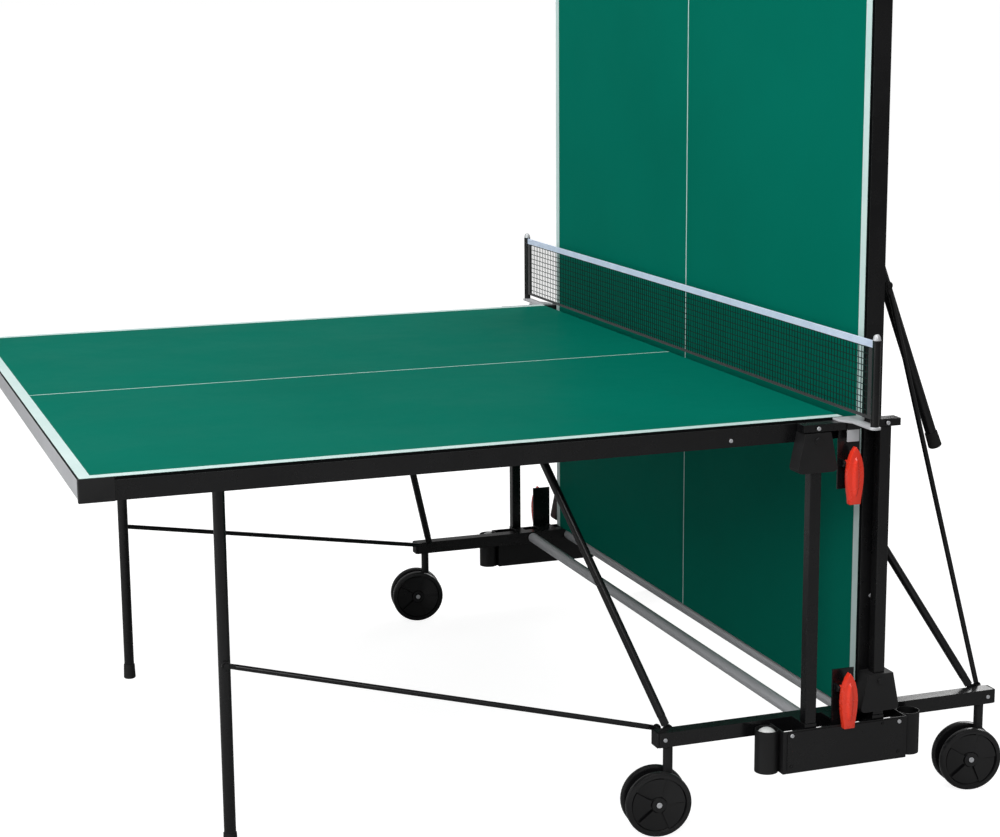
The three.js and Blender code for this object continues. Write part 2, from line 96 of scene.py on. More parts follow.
# %% [markdown]
# ## The camera
#
# The camera stands off the near corner of the level half, a little above the net, and looks slightly
# down. It is aimed by three angles in place of a tracking constraint, because its slight roll matters.

# %% Camera
CAMERA_FROM_MIDDLE = Vector((-1.8309, -4.0505, 1.5043))
CAMERA_YAW = math.radians(19.618)
CAMERA_PITCH = math.radians(11.327)
CAMERA_ROLL = math.radians(-0.462)
SENSOR_WIDTH = 36
LENS = 75.57

forward = Vector((
    math.sin(CAMERA_YAW) * math.cos(CAMERA_PITCH),
    math.cos(CAMERA_YAW) * math.cos(CAMERA_PITCH),
    -math.sin(CAMERA_PITCH),
))
level_right = Vector((math.cos(CAMERA_YAW), -math.sin(CAMERA_YAW), 0))
level_up = level_right.cross(forward)
right = level_right * math.cos(CAMERA_ROLL) + level_up * math.sin(CAMERA_ROLL)
up = level_up * math.cos(CAMERA_ROLL) - level_right * math.sin(CAMERA_ROLL)

camera = bpy.data.objects.new("camera", bpy.data.cameras.new("camera"))
bpy.context.scene.collection.objects.link(camera)
camera.data.sensor_width = SENSOR_WIDTH
camera.data.lens = LENS
aim = Matrix((right, up, -forward)).transposed().to_4x4()
camera.matrix_world = Matrix.Translation(CAMERA_FROM_MIDDLE + Vector((MID_X, 0, 0))) @ aim
bpy.context.scene.camera = camera
print("camera at", [round(v, 3) for v in camera.matrix_world.translation])

# %% [markdown]
# ## Small helpers for node trees
#
# A material is a tree of nodes. These helpers add a node with its values set, and make a node group
# with named sockets, so that the materials below read as a list of what each one is made of.

# %% Node helpers
def add_node(tree, kind, settings=None, values=None):
    new = tree.nodes.new(kind)
    for key, value in (settings or {}).items():
        setattr(new, key, value)
    for key, value in (values or {}).items():
        new.inputs[key].default_value = value
    return new


def make_group(name, inputs, outputs):
    group = bpy.data.node_groups.new(name, "ShaderNodeTree")
    for label, kind, value in inputs:
        socket = group.interface.new_socket(label, in_out="INPUT", socket_type=kind)
        if value is not None:
            socket.default_value = value
    for label, kind in outputs:
        group.interface.new_socket(label, in_out="OUTPUT", socket_type=kind)
    return group, group.nodes.new("NodeGroupInput"), group.nodes.new("NodeGroupOutput")


def place_group(tree, group, values=None):
    return add_node(tree, "ShaderNodeGroup", {"node_tree": group}, values)


FLOAT, COLOR, VECTOR = "NodeSocketFloat", "NodeSocketColor", "NodeSocketVector"

# %% [markdown]
# ## Effects that several finishes share
#
# No made surface is one even colour. "Uneven tone" drifts slowly between two colours. "Fine grain" is
# the tiny relief of powder coat or moulded plastic. "Handling marks" is a patchy mask that makes a
# surface a little duller where it is touched. "Settled dust" is a mask for faces that look upwards.

# %% Uneven tone
tone_group, given, result = make_group(
    "Uneven tone",
    [("Vector", VECTOR, None), ("Color", COLOR, (0.5, 0.5, 0.5, 1)),
     ("Shade", COLOR, (0.3, 0.3, 0.3, 1)), ("Scale", FLOAT, 6.0)],
    [("Color", COLOR)],
)
drift = add_node(tone_group, "ShaderNodeTexNoise", values={"Detail": 3.0, "Roughness": 0.55})
spread = add_node(tone_group, "ShaderNodeMapRange", values={"From Min": 0.35, "From Max": 0.68})
blend = add_node(tone_group, "ShaderNodeMix", {"data_type": "RGBA"})
tone_group.links.new(given.outputs["Vector"], drift.inputs["Vector"])
tone_group.links.new(given.outputs["Scale"], drift.inputs["Scale"])
tone_group.links.new(drift.outputs["Fac"], spread.inputs["Value"])
tone_group.links.new(spread.outputs["Result"], blend.inputs["Factor"])
tone_group.links.new(given.outputs["Color"], blend.inputs[6])
tone_group.links.new(given.outputs["Shade"], blend.inputs[7])
tone_group.links.new(blend.outputs[2], result.inputs["Color"])
print("made", tone_group.name)

# %% Fine grain
grain_group, given, result = make_group(
    "Fine grain",
    [("Vector", VECTOR, None), ("Scale", FLOAT, 900.0)],
    [("Height", FLOAT)],
)
pebble = add_node(grain_group, "ShaderNodeTexNoise", values={"Detail": 2.0, "Roughness": 0.6})
grain_group.links.new(given.outputs["Vector"], pebble.inputs["Vector"])
grain_group.links.new(given.outputs["Scale"], pebble.inputs["Scale"])
grain_group.links.new(pebble.outputs["Fac"], result.inputs["Height"])
print("made", grain_group.name)

# %% Handling marks
marks_group, given, result = make_group(
    "Handling marks",
    [("Vector", VECTOR, None), ("Scale", FLOAT, 14.0), ("Low", FLOAT, 0.3), ("High", FLOAT, 0.5)],
    [("Roughness", FLOAT)],
)
patch = add_node(marks_group, "ShaderNodeTexNoise", values={"Detail": 5.0, "Roughness": 0.65})
limits = add_node(marks_group, "ShaderNodeMapRange", values={"From Min": 0.3, "From Max": 0.7})
marks_group.links.new(given.outputs["Vector"], patch.inputs["Vector"])
marks_group.links.new(given.outputs["Scale"], patch.inputs["Scale"])
marks_group.links.new(patch.outputs["Fac"], limits.inputs["Value"])
marks_group.links.new(given.outputs["Low"], limits.inputs["To Min"])
marks_group.links.new(given.outputs["High"], limits.inputs["To Max"])
marks_group.links.new(limits.outputs["Result"], result.inputs["Roughness"])
print("made", marks_group.name)

# %% Settled dust
dust_group, given, result = make_group(
    "Settled dust",
    [("Vector", VECTOR, None), ("Normal", VECTOR, None), ("Amount", FLOAT, 0.1)],
    [("Mask", FLOAT)],
)
direction = add_node(dust_group, "ShaderNodeSeparateXYZ")
facing_up = add_node(dust_group, "ShaderNodeMapRange", values={"From Min": 0.5, "From Max": 1.0})
specks = add_node(dust_group, "ShaderNodeTexNoise", values={"Scale": 40.0, "Detail": 6.0})
together = add_node(dust_group, "ShaderNodeMath", {"operation": "MULTIPLY"})
scaled = add_node(dust_group, "ShaderNodeMath", {"operation": "MULTIPLY"})
dust_group.links.new(given.outputs["Normal"], direction.inputs["Vector"])
dust_group.links.new(direction.outputs["Z"], facing_up.inputs["Value"])
dust_group.links.new(given.outputs["Vector"], specks.inputs["Vector"])
dust_group.links.new(facing_up.outputs["Result"], together.inputs[0])
dust_group.links.new(specks.outputs["Fac"], together.inputs[1])
dust_group.links.new(together.outputs[0], scaled.inputs[0])
dust_group.links.new(given.outputs["Amount"], scaled.inputs[1])
dust_group.links.new(scaled.outputs[0], result.inputs["Mask"])
print("made", dust_group.name)

# %% [markdown]
# ## One recipe for the plain finishes
#
# Powder coat, zinc, moulded plastic and rubber differ in colour, gloss and grain, but they are put
# together in the same way. So one function builds them, and each finish states its own values. What is
# even over the whole surface is set straight on the shader.

# %% Finish recipe
DUST_COLOUR = (0.34, 0.34, 0.33, 1)


def make_finish(name, colour, shade, gloss, metallic=0.0, coat=0.0, specular=0.5,
                tone_scale=7.0, grain_scale=900.0, grain_height=0.05, dust=0.05):
    finish = bpy.data.materials.new(name)
    finish.use_nodes = True
    tree = finish.node_tree
    shader = tree.nodes["Principled BSDF"]
    shader.inputs["Metallic"].default_value = metallic
    shader.inputs["Coat Weight"].default_value = coat
    shader.inputs["Specular IOR Level"].default_value = specular
    place = add_node(tree, "ShaderNodeTexCoord")
    tone = place_group(tree, tone_group,
                       {"Color": (*colour, 1), "Shade": (*shade, 1), "Scale": tone_scale})
    marks = place_group(tree, marks_group, {"Low": gloss[0], "High": gloss[1]})
    grain = place_group(tree, grain_group, {"Scale": grain_scale})
    settled = place_group(tree, dust_group, {"Amount": dust})
    dusty = add_node(tree, "ShaderNodeMix", {"data_type": "RGBA"})
    dusty.inputs[7].default_value = DUST_COLOUR
    relief = add_node(tree, "ShaderNodeBump", values={"Strength": grain_height, "Distance": 0.0004})
    for effect in (tone, marks, grain, settled):
        tree.links.new(place.outputs["Object"], effect.inputs["Vector"])
    tree.links.new(place.outputs["Normal"], settled.inputs["Normal"])
    tree.links.new(tone.outputs["Color"], dusty.inputs[6])
    tree.links.new(settled.outputs["Mask"], dusty.inputs["Factor"])
    tree.links.new(dusty.outputs[2], shader.inputs["Base Color"])
    tree.links.new(marks.outputs["Roughness"], shader.inputs["Roughness"])
    tree.links.new(grain.outputs["Height"], relief.inputs["Height"])
    tree.links.new(relief.outputs["Normal"], shader.inputs["Normal"])
    return finish


# %% [markdown]
# ## The plain finishes
#
# The frame is black powder coat with a slight orange peel. The end rails and cross tubes are zinc
# coated and light grey. Slide blocks, caps and bat holders are grained black plastic, the latch levers
# are glossy red, and the feet are dull rubber. The lines are a thin pale paint.

# %% Plain finishes
black_steel = make_finish("black_powder_coat", (0.004, 0.004, 0.0045), (0.007, 0.007, 0.0075),
                          (0.20, 0.32), specular=0.4, grain_scale=1100, grain_height=0.05)
zinc_steel = make_finish("zinc_coated_steel", (0.60, 0.61, 0.63), (0.52, 0.53, 0.55), (0.34, 0.46),
                         metallic=0.3, tone_scale=4, grain_scale=500, grain_height=0.06)
black_plastic = make_finish("moulded_black_plastic", (0.005, 0.005, 0.0055), (0.009, 0.009, 0.0095),
                            (0.42, 0.58), specular=0.4, grain_scale=1600, grain_height=0.3)
wheel_plastic = make_finish("black_wheel_plastic", (0.004, 0.004, 0.0045), (0.008, 0.008, 0.0085),
                            (0.16, 0.30), specular=0.5, grain_scale=1400, grain_height=0.15, dust=0.08)
red_plastic = make_finish("glossy_red_plastic", (0.93, 0.050, 0.020), (0.84, 0.034, 0.014),
                          (0.22, 0.34), coat=0.2, grain_scale=1300, grain_height=0.05, dust=0.0)
foot_rubber = make_finish("dull_black_rubber", (0.010, 0.010, 0.010), (0.018, 0.018, 0.017),
                          (0.70, 0.88), specular=0.3, grain_scale=1500, grain_height=0.35, dust=0.12)
line_paint = make_finish("pale_line_paint", (0.62, 0.76, 0.74), (0.54, 0.69, 0.67), (0.42, 0.56),
                         specular=0.3, grain_scale=1200, grain_height=0.08, dust=0.0)
print("plain finishes:", len(bpy.data.materials))

# %% [markdown]
# ## The laminate of the panels
#
# A panel is a 6 mm board: green playing face, black edge, grey back, and black steel ribs under it.
# These lie at different depths below the playing face. So the material measures the depth and picks the
# layer by it, which needs no cuts in the mesh. Each half has its own copy, because the level one is
# measured down Z and the upright one along X.

# %% Panel layers
MARGIN = 0.3 * MM
layer_group, given, result = make_group(
    "Panel layers",
    [("Depth", FLOAT, 0.0)],
    [("Playing face", FLOAT), ("Back", FLOAT), ("Ribs", FLOAT)],
)
on_face = add_node(layer_group, "ShaderNodeMath", {"operation": "LESS_THAN"})
on_face.inputs[1].default_value = MARGIN
past_edge = add_node(layer_group, "ShaderNodeMath", {"operation": "GREATER_THAN"})
past_edge.inputs[1].default_value = PANEL - MARGIN
on_ribs = add_node(layer_group, "ShaderNodeMath", {"operation": "GREATER_THAN"})
on_ribs.inputs[1].default_value = PANEL + MARGIN
on_back = add_node(layer_group, "ShaderNodeMath", {"operation": "SUBTRACT"})
for test in (on_face, past_edge, on_ribs):
    layer_group.links.new(given.outputs["Depth"], test.inputs[0])
layer_group.links.new(past_edge.outputs[0], on_back.inputs[0])
layer_group.links.new(on_ribs.outputs[0], on_back.inputs[1])
layer_group.links.new(on_face.outputs[0], result.inputs["Playing face"])
layer_group.links.new(on_back.outputs[0], result.inputs["Back"])
layer_group.links.new(on_ribs.outputs[0], result.inputs["Ribs"])

PLAYING_GREEN = (0.0006, 0.150, 0.104, 1)
PLAYING_SHADE = (0.0005, 0.138, 0.095, 1)
EDGE_BLACK = (0.005, 0.005, 0.0055, 1)
BACK_GREY = (0.075, 0.085, 0.082, 1)


def make_laminate(name, axis, surface, sign):
    laminate = bpy.data.materials.new(name)
    laminate.use_nodes = True
    tree = laminate.node_tree
    shader = tree.nodes["Principled BSDF"]
    shader.inputs["Specular IOR Level"].default_value = 0.008
    place = add_node(tree, "ShaderNodeTexCoord")
    apart = add_node(tree, "ShaderNodeSeparateXYZ")
    depth = add_node(tree, "ShaderNodeMath", {"operation": "MULTIPLY_ADD"})
    depth.inputs[1].default_value = sign
    depth.inputs[2].default_value = -sign * surface
    layers = place_group(tree, layer_group)
    tone = place_group(tree, tone_group, {"Color": PLAYING_GREEN, "Shade": PLAYING_SHADE, "Scale": 2.2})
    marks = place_group(tree, marks_group, {"Scale": 5.0, "Low": 0.40, "High": 0.52})
    grain = place_group(tree, grain_group, {"Scale": 1500.0})
    relief = add_node(tree, "ShaderNodeBump", values={"Strength": 0.12, "Distance": 0.0003})
    tree.links.new(place.outputs["Object"], apart.inputs["Vector"])
    tree.links.new(apart.outputs[axis], depth.inputs[0])
    tree.links.new(depth.outputs[0], layers.inputs["Depth"])
    for effect in (tone, marks, grain):
        tree.links.new(place.outputs["Object"], effect.inputs["Vector"])
    colour = None
    for mask, paint in (("Playing face", None), ("Back", BACK_GREY), ("Ribs", EDGE_BLACK)):
        over = add_node(tree, "ShaderNodeMix", {"data_type": "RGBA"})
        tree.links.new(layers.outputs[mask], over.inputs["Factor"])
        if paint is None:
            over.inputs[6].default_value = EDGE_BLACK
            tree.links.new(tone.outputs["Color"], over.inputs[7])
        else:
            tree.links.new(colour, over.inputs[6])
            over.inputs[7].default_value = paint
        colour = over.outputs[2]
    tree.links.new(colour, shader.inputs["Base Color"])
    tree.links.new(marks.outputs["Roughness"], shader.inputs["Roughness"])
    tree.links.new(grain.outputs["Height"], relief.inputs["Height"])
    tree.links.new(relief.outputs["Normal"], shader.inputs["Normal"])
    return laminate


def wear(obj, *finishes):
    obj.data.materials.clear()
    for finish in finishes:
        obj.data.materials.append(finish)


wear(nodes["left_board"], make_laminate("green_laminate_level", "Z", TOP_Z, -1.0))
wear(nodes["right_board"], make_laminate("green_laminate_upright", "X", right_low.x, 1.0))
print("laminate on both boards")

# %% [markdown]
# ## Finishing a bare solid
#
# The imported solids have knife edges, and nothing made has. A copy of each is merged, its flat faces are
# joined, and its sharp edges get a small bevel, which is what catches the light. A bevel modifier could
# do it, but the operator lets each piece choose which edges are sharp enough. The copy stands for the
# node and rides on the same body.

# %% Finishing helper
bodies = frame["record"]["behaviour"]["bodies"]
body_of_node = {node: body for body, members in bodies.items() for node in members}
SHARP = math.radians(50)


def new_object(name, bm, *finishes):
    mesh = bpy.data.meshes.new(name)
    bm.to_mesh(mesh)
    bm.free()
    for polygon in mesh.polygons:
        polygon.use_smooth = True
    mesh.set_sharp_from_angle(angle=math.radians(38))
    obj = bpy.data.objects.new(name, mesh)
    bpy.context.scene.collection.objects.link(obj)
    wear(obj, *finishes)
    return obj


def soften(bm, geom, offset, segments, affect="EDGES"):
    return bmesh.ops.bevel(bm, geom=geom, offset=offset, offset_type="OFFSET", segments=segments,
                           profile=0.5, affect=affect, clamp_overlap=True, material=-1)["verts"]


def stand_at(bm, place):
    bmesh.ops.transform(bm, matrix=place, verts=bm.verts[:])
    bmesh.ops.recalc_face_normals(bm, faces=bm.faces[:])


def even_normals(obj):
    weighted = obj.modifiers.new("even_normals", "WEIGHTED_NORMAL")
    weighted.keep_sharp = True
    weighted.weight = 80


def rounded_copy(node, edge):
    bm = bmesh.new()
    bm.from_mesh(nodes[node].data)
    bmesh.ops.remove_doubles(bm, verts=bm.verts[:], dist=0.01 * MM)
    bmesh.ops.dissolve_limit(bm, angle_limit=math.radians(0.5), verts=bm.verts[:], edges=bm.edges[:])
    sharp = [e for e in bm.edges if e.is_manifold and e.calc_face_angle() > SHARP]
    soften(bm, sharp, edge, 2)
    return bm


def finish_node(node, edge, finish):
    piece = new_object(f"{node}_finished", rounded_copy(node, edge), finish)
    even_normals(piece)
    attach(piece, body_of_node[node])
    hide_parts(node)


# %% [markdown]
# ## Steel and plastic from the frame
#
# Rolled tube has a corner radius of a millimetre or more, a moulded block has more, and thin plate has
# almost none. The table below states it for each kind of piece.

# %% Finish the solids
plan = []
for side in SIDES:
    plan.append((f"{side}_outer_end_rail", 1.2 * MM, zinc_steel, "galvanised_steel"))
    plan.append((f"{side}_inner_end_rail", 1.2 * MM, zinc_steel, "galvanised_steel"))
    plan.append((f"{side}_cross_tube", 0.8 * MM, zinc_steel, "galvanised_steel"))
    plan.append((f"{side}_leg_shaft", 0.8 * MM, black_steel, "black_steel"))
    for end in ENDS:
        plan.append((f"{side}_{end}_side_rail", 1.2 * MM, black_steel, "black_steel"))
        plan.append((f"{side}_{end}_leg", 0.6 * MM, black_steel, "black_steel"))
        plan.append((f"{side}_{end}_foot", 1.0 * MM, foot_rubber, "black_rubber"))
        plan.append((f"{side}_{end}_strut", 0.6 * MM, black_steel, "black_steel"))
        plan.append((f"{side}_{end}_leg_bar", 0.5 * MM, black_steel, "black_steel"))
        plan.append((f"{side}_{end}_slide_block", 2.0 * MM, black_plastic, "black_plastic"))
        plan.append((f"{side}_{end}_post", 1.5 * MM, black_steel, "black_steel"))
        plan.append((f"{side}_{end}_caster_stem", 1.0 * MM, black_plastic, "black_plastic"))
for end in ENDS:
    plan.append((f"undercarriage_rail_{end}", 1.2 * MM, black_steel, "black_steel"))
    plan.append((f"top_bar_{end}", 1.2 * MM, black_steel, "black_steel"))
    plan.append((f"bat_holder_{end}", 0.8 * MM, black_plastic, "black_plastic"))
for node, edge, finish, slot in plan:
    finish_node(node, edge, finish)
print("finished", len(plan), "solids")

# %% [markdown]
# ## The painted lines
#
# A white line 20 mm wide runs round the outer three sides of each half, and a line 3 mm wide runs down
# its middle. Paint stands on the surface by a hair. It is made flat, from one face: an inset gives the
# border, a cut takes off the side at the net, and a solidify gives the paint its thickness.

# %% Painted lines
LINE = 20 * MM
MIDDLE_LINE = 3 * MM
PAINT = 0.3 * MM
LIFT = 0.03 * MM


def flat_face(bm, u0, u1, v0, v1):
    made = bmesh.ops.create_grid(bm, x_segments=1, y_segments=1, size=0.5)["verts"]
    bmesh.ops.scale(bm, vec=(u1 - u0, v1 - v0, 1), verts=made)
    bmesh.ops.translate(bm, vec=((u0 + u1) / 2, (v0 + v1) / 2, 0), verts=made)
    return made[0].link_faces[0]


def paint_lines(name, place, body):
    bm = bmesh.new()
    field = flat_face(bm, -2 * LINE, HALF_LENGTH, -EDGE_Y, EDGE_Y)
    bmesh.ops.inset_region(bm, faces=[field], thickness=LINE, use_boundary=True, use_even_offset=True)
    bmesh.ops.delete(bm, geom=[field], context="FACES")
    bmesh.ops.bisect_plane(bm, geom=bm.verts[:] + bm.edges[:] + bm.faces[:], plane_co=(0, 0, 0),
                           plane_no=(-1, 0, 0), clear_outer=True)
    flat_face(bm, 0, HALF_LENGTH - LINE, -MIDDLE_LINE / 2, MIDDLE_LINE / 2)
    bmesh.ops.solidify(bm, geom=bm.faces[:], thickness=PAINT)
    lowest = min(v.co.z for v in bm.verts)
    bmesh.ops.translate(bm, vec=(0, 0, LIFT - lowest), verts=bm.verts[:])
    stand_at(bm, place)
    lines = new_object(name, bm, line_paint)
    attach(lines, body)
    return lines


def axes_at(origin, u, v, w):
    return Matrix.Translation(origin) @ Matrix((u, v, w)).transposed().to_4x4()


LEVEL_HALF = axes_at((left_high.x, 0, TOP_Z), Vector((-1, 0, 0)), Vector((0, -1, 0)), Vector((0, 0, 1)))
UPRIGHT_HALF = axes_at((right_low.x, 0, right_low.z), Vector((0, 0, 1)), Vector((0, 1, 0)),
                       Vector((-1, 0, 0)))
HALVES = {"left": LEVEL_HALF, "right": UPRIGHT_HALF}
for side in SIDES:
    lines = paint_lines(f"{side}_court_lines", HALVES[side], f"{side}_half")
    print(lines.name, len(lines.data.polygons), "faces")

# %% [markdown]
# ## The corner caps
#
# A black moulding wraps each outer corner of a half, where the side rail meets the end rail. It is an
# L seen from above. Six corners of the L are joined into a face and pushed down into a wall, and its
# outer upright edge is rounded, because that is the one people walk into.

# %% Corner caps
CAP_ALONG = 56 * MM
CAP_ACROSS = 9 * MM
CAP_WALL = 2.2 * MM
CAP_GAP = 0.3 * MM
CAP_TOP = -0.6 * MM
CAP_BOTTOM = -40.2 * MM
CAP_ROUND = 1.8 * MM


def corner_cap(name, place, end, body):
    bm = bmesh.new()
    outline = [(CAP_GAP, CAP_ACROSS), (CAP_WALL, CAP_ACROSS), (CAP_WALL, -CAP_WALL),
               (-CAP_ALONG, -CAP_WALL), (-CAP_ALONG, -CAP_GAP), (CAP_GAP, -CAP_GAP)]
    face = bm.faces.new([bm.verts.new((x, y, CAP_TOP)) for x, y in outline])
    grown = bmesh.ops.extrude_face_region(bm, geom=[face], use_keep_orig=True)["geom"]
    lower = [g for g in grown if isinstance(g, bmesh.types.BMVert)]
    bmesh.ops.translate(bm, vec=(0, 0, CAP_BOTTOM - CAP_TOP), verts=lower)
    bmesh.ops.recalc_face_normals(bm, faces=bm.faces[:])
    upright = [e for e in bm.edges
               if all(abs(v.co.x - CAP_WALL) < 1e-6 and abs(v.co.y + CAP_WALL) < 1e-6 for v in e.verts)]
    soften(bm, upright, CAP_ROUND, 4)
    bmesh.ops.translate(bm, vec=(HALF_LENGTH, -EDGE_Y, 0), verts=bm.verts[:])
    if end > 0:
        bmesh.ops.scale(bm, vec=(1, -1, 1), verts=bm.verts[:])
    stand_at(bm, place)
    cap = new_object(name, bm, black_plastic)
    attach(cap, body)


for side in SIDES:
    for label, end in (("a", -1), ("b", 1)):
        corner_cap(f"{side}_corner_cap_{label}", HALVES[side], end, f"{side}_half")
print("four corner caps,", round(CAP_ALONG * 1000), "mm along the side")

# %% [markdown]
# ## Screws and bolt heads
#
# The small bright points along the rails, bars and bat holders are button-head screws. One head is
# made with a domed rim and a sunk socket, and copies of it are turned to face out of each surface. All
# the heads on one body are one mesh, which keeps the list of pieces short.

# %% Screw heads
def screw_head(radius, height):
    bm = bmesh.new()
    bmesh.ops.create_cone(bm, cap_ends=True, segments=16, radius1=radius, radius2=radius, depth=height)
    bmesh.ops.translate(bm, vec=(0, 0, height / 2), verts=bm.verts[:])
    top = max(bm.faces, key=lambda f: f.calc_center_median().z)
    soften(bm, top.edges[:], 0.45 * height, 2)
    top = max(bm.faces, key=lambda f: f.calc_center_median().z)
    bmesh.ops.inset_region(bm, faces=[top], thickness=0.35 * radius, use_even_offset=True)
    bmesh.ops.inset_region(bm, faces=[top], thickness=0.05 * radius, depth=-0.5 * height)
    mesh = bpy.data.meshes.new("screw_head")
    bm.to_mesh(mesh)
    bm.free()
    return mesh


def screws(name, body, places, radius, height, finish):
    head = screw_head(radius, height)
    bm = bmesh.new()
    for centre, outward in places:
        before = len(bm.verts)
        bm.from_mesh(head)
        bm.verts.ensure_lookup_table()
        turn = Vector(outward).to_track_quat("Z", "Y").to_matrix().to_4x4()
        bmesh.ops.transform(bm, matrix=Matrix.Translation(centre) @ turn, verts=bm.verts[before:])
    bpy.data.meshes.remove(head)
    piece = new_object(name, bm, finish)
    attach(piece, body)


# %% [markdown]
# Every side rail has one screw about 222 mm from the net, the top bars have one over each post, and a
# bat holder has two near its upper corners. Three darker ones hold its front plate. A bolt stands near
# each end of an undercarriage rail.

# %% Place the screws
SCREW_FROM_NET = 222 * MM
SCREW_DEPTH = 28 * MM
POST_SPREAD = 70 * MM
RAIL_FACE = 742 * MM
RAIL_MIDDLE = 14 * MM
BOLT_FROM_RAIL_END = 12 * MM
HOLDER_SPREAD = 111 * MM
EXTRA_SCREW_X = 77 * MM
PLATE_FACE = 1.7 * MM
for side in SIDES:
    spots = []
    for end in (-1, 1):
        local = Vector((SCREW_FROM_NET, end * EDGE_Y, -SCREW_DEPTH))
        outward = HALVES[side].to_3x3() @ Vector((0, end, 0))
        spots.append((HALVES[side] @ local, outward))
    screws(f"{side}_apron_screws", f"{side}_half", spots, 3.6 * MM, 1.8 * MM, zinc_steel)

for end, sign in OUTWARD.items():
    outward = (0, sign, 0)
    bar_low, bar_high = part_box(f"top_bar_{end}")
    bar_face = bar_low.y if sign < 0 else bar_high.y
    bright = [((MID_X + s * POST_SPREAD, bar_face, bar_high.z - 7 * MM), outward) for s in (-1, 1)]
    low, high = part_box(f"bat_holder_{end}")
    plate_y = (low.y if sign < 0 else high.y) + sign * PLATE_FACE
    upper_z, lower_z = high.z - 8 * MM, low.z + 14 * MM
    dark = []
    rail_low, rail_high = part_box(f"undercarriage_rail_{end}")
    for x in (rail_low.x + BOLT_FROM_RAIL_END, rail_high.x - BOLT_FROM_RAIL_END):
        bright.append(((x, sign * RAIL_FACE, rail_low.z + RAIL_MIDDLE), outward))
    for s in (-1, 1):
        bright.append(((MID_X + s * HOLDER_SPREAD, plate_y, upper_z), outward))
        dark.append(((MID_X + s * HOLDER_SPREAD, plate_y, lower_z), outward))
    dark.append(((MID_X + EXTRA_SCREW_X, plate_y, upper_z), outward))
    screws(f"bright_screws_{end}", "undercarriage", bright, 3.8 * MM, 2.0 * MM, zinc_steel)
    screws(f"dark_screws_{end}", "undercarriage", dark, 3.4 * MM, 1.8 * MM, black_steel)
    print(end, "side:", len(bright), "bright and", len(dark), "dark screws")

# %% [markdown]
# ## Front plates of the bat holders
#
# A smooth plate with rounded corners covers the outer wall of each bat holder. It is a single face
# made thick, with its four corners rounded first, so that they stay round through the thickness.

# %% Front plates
PLATE_THICK = 1.5 * MM
PLATE_HALF_LENGTH = 120 * MM
PLATE_CORNER = 5 * MM
PLATE_RIM = 0.4 * MM


def front_plate(end, sign):
    low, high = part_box(f"bat_holder_{end}")
    bm = bmesh.new()
    flat_face(bm, -PLATE_HALF_LENGTH, PLATE_HALF_LENGTH, low.z + 4 * MM, high.z - 2 * MM)
    soften(bm, bm.verts[:], PLATE_CORNER, 4, affect="VERTICES")
    bmesh.ops.solidify(bm, geom=bm.faces[:], thickness=PLATE_THICK)
    middle = sum(v.co.z for v in bm.verts) / len(bm.verts)
    bmesh.ops.translate(bm, vec=(0, 0, -middle), verts=bm.verts[:])
    outer_y = (low.y if sign < 0 else high.y) + sign * (PLATE_THICK / 2 + 0.1 * MM)
    stand = axes_at((MID_X, outer_y, 0), Vector((1, 0, 0)), Vector((0, 0, 1)), Vector((0, -1, 0)))
    stand_at(bm, stand)
    rims = [e for e in bm.edges if e.calc_face_angle(0) > SHARP]
    soften(bm, rims, PLATE_RIM, 2)
    plate = new_object(f"bat_holder_plate_{end}", bm, black_steel)
    even_normals(plate)
    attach(plate, "undercarriage")
    return plate


for end, sign in OUTWARD.items():
    print(front_plate(end, sign).name, "is", PLATE_THICK * 1000, "mm thick")

# %% [markdown]
# ## The casters' wheels
#
# Each wheel is a pair of moulded discs. A disc has a rounded tread, a rim, and a face of five sloping
# blades, each of which climbs from its neighbour's foot like a fan. The disc is spun from a half
# section. A blade is a small upright face spun through a fifth of a turn while it also climbs.

# %% Wheel discs
BLADES = 5
BLADE_TURN = 2 * math.pi / BLADES * 0.94
BLADE_INNER, BLADE_OUTER = 15.5 * MM, 49.5 * MM
BLADE_FOOT, BLADE_CREST = 20.4 * MM, 21.0 * MM
BLADE_CLIMB = 4.8 * MM
BLADE_STEPS = 9
AXLE_RADIUS = 6 * MM
AXLE_LENGTH = 52 * MM
HUB_FACE = 26.4 * MM
DISC = [(15, 11.2), (56, 11.2), (60.4, 12.6), (61.8, 16), (61.8, 22), (60.4, 25.4), (57, 26.8),
        (52, 26.8), (50.5, 20.6), (14.5, 20.6), (13.5, 26.6), (6.4, 26.6), (6.4, 11.2)]


def spun_disc(bm):
    ring = [bm.verts.new((r * MM, y * MM, 0)) for r, y in DISC]
    section = [bm.edges.new((ring[i], ring[(i + 1) % len(ring)])) for i in range(len(ring))]
    bmesh.ops.spin(bm, geom=ring + section, cent=(0, 0, 0), axis=(0, 1, 0), dvec=(0, 0, 0),
                   angle=2 * math.pi, steps=48, use_merge=True, use_normal_flip=False)
    bmesh.ops.remove_doubles(bm, verts=bm.verts[:], dist=0.01 * MM)


def spun_blade(bm, start):
    corners = [bm.verts.new((r, y, 0)) for r, y in (
        (BLADE_INNER, BLADE_FOOT), (BLADE_OUTER, BLADE_FOOT),
        (BLADE_OUTER, BLADE_CREST), (BLADE_INNER, BLADE_CREST))]
    face = bm.faces.new(corners)
    bmesh.ops.transform(bm, matrix=Matrix.Rotation(start, 4, "Y"), verts=corners)
    bmesh.ops.spin(bm, geom=[face, *face.edges, *face.verts], cent=(0, 0, 0), axis=(0, 1, 0),
                   dvec=(0, BLADE_CLIMB / BLADE_STEPS, 0), angle=BLADE_TURN, steps=BLADE_STEPS,
                   use_duplicate=False)


def wheel_half():
    bm = bmesh.new()
    spun_disc(bm)
    for blade in range(BLADES):
        spun_blade(bm, 2 * math.pi * blade / BLADES)
    bmesh.ops.recalc_face_normals(bm, faces=bm.faces[:])
    return bm


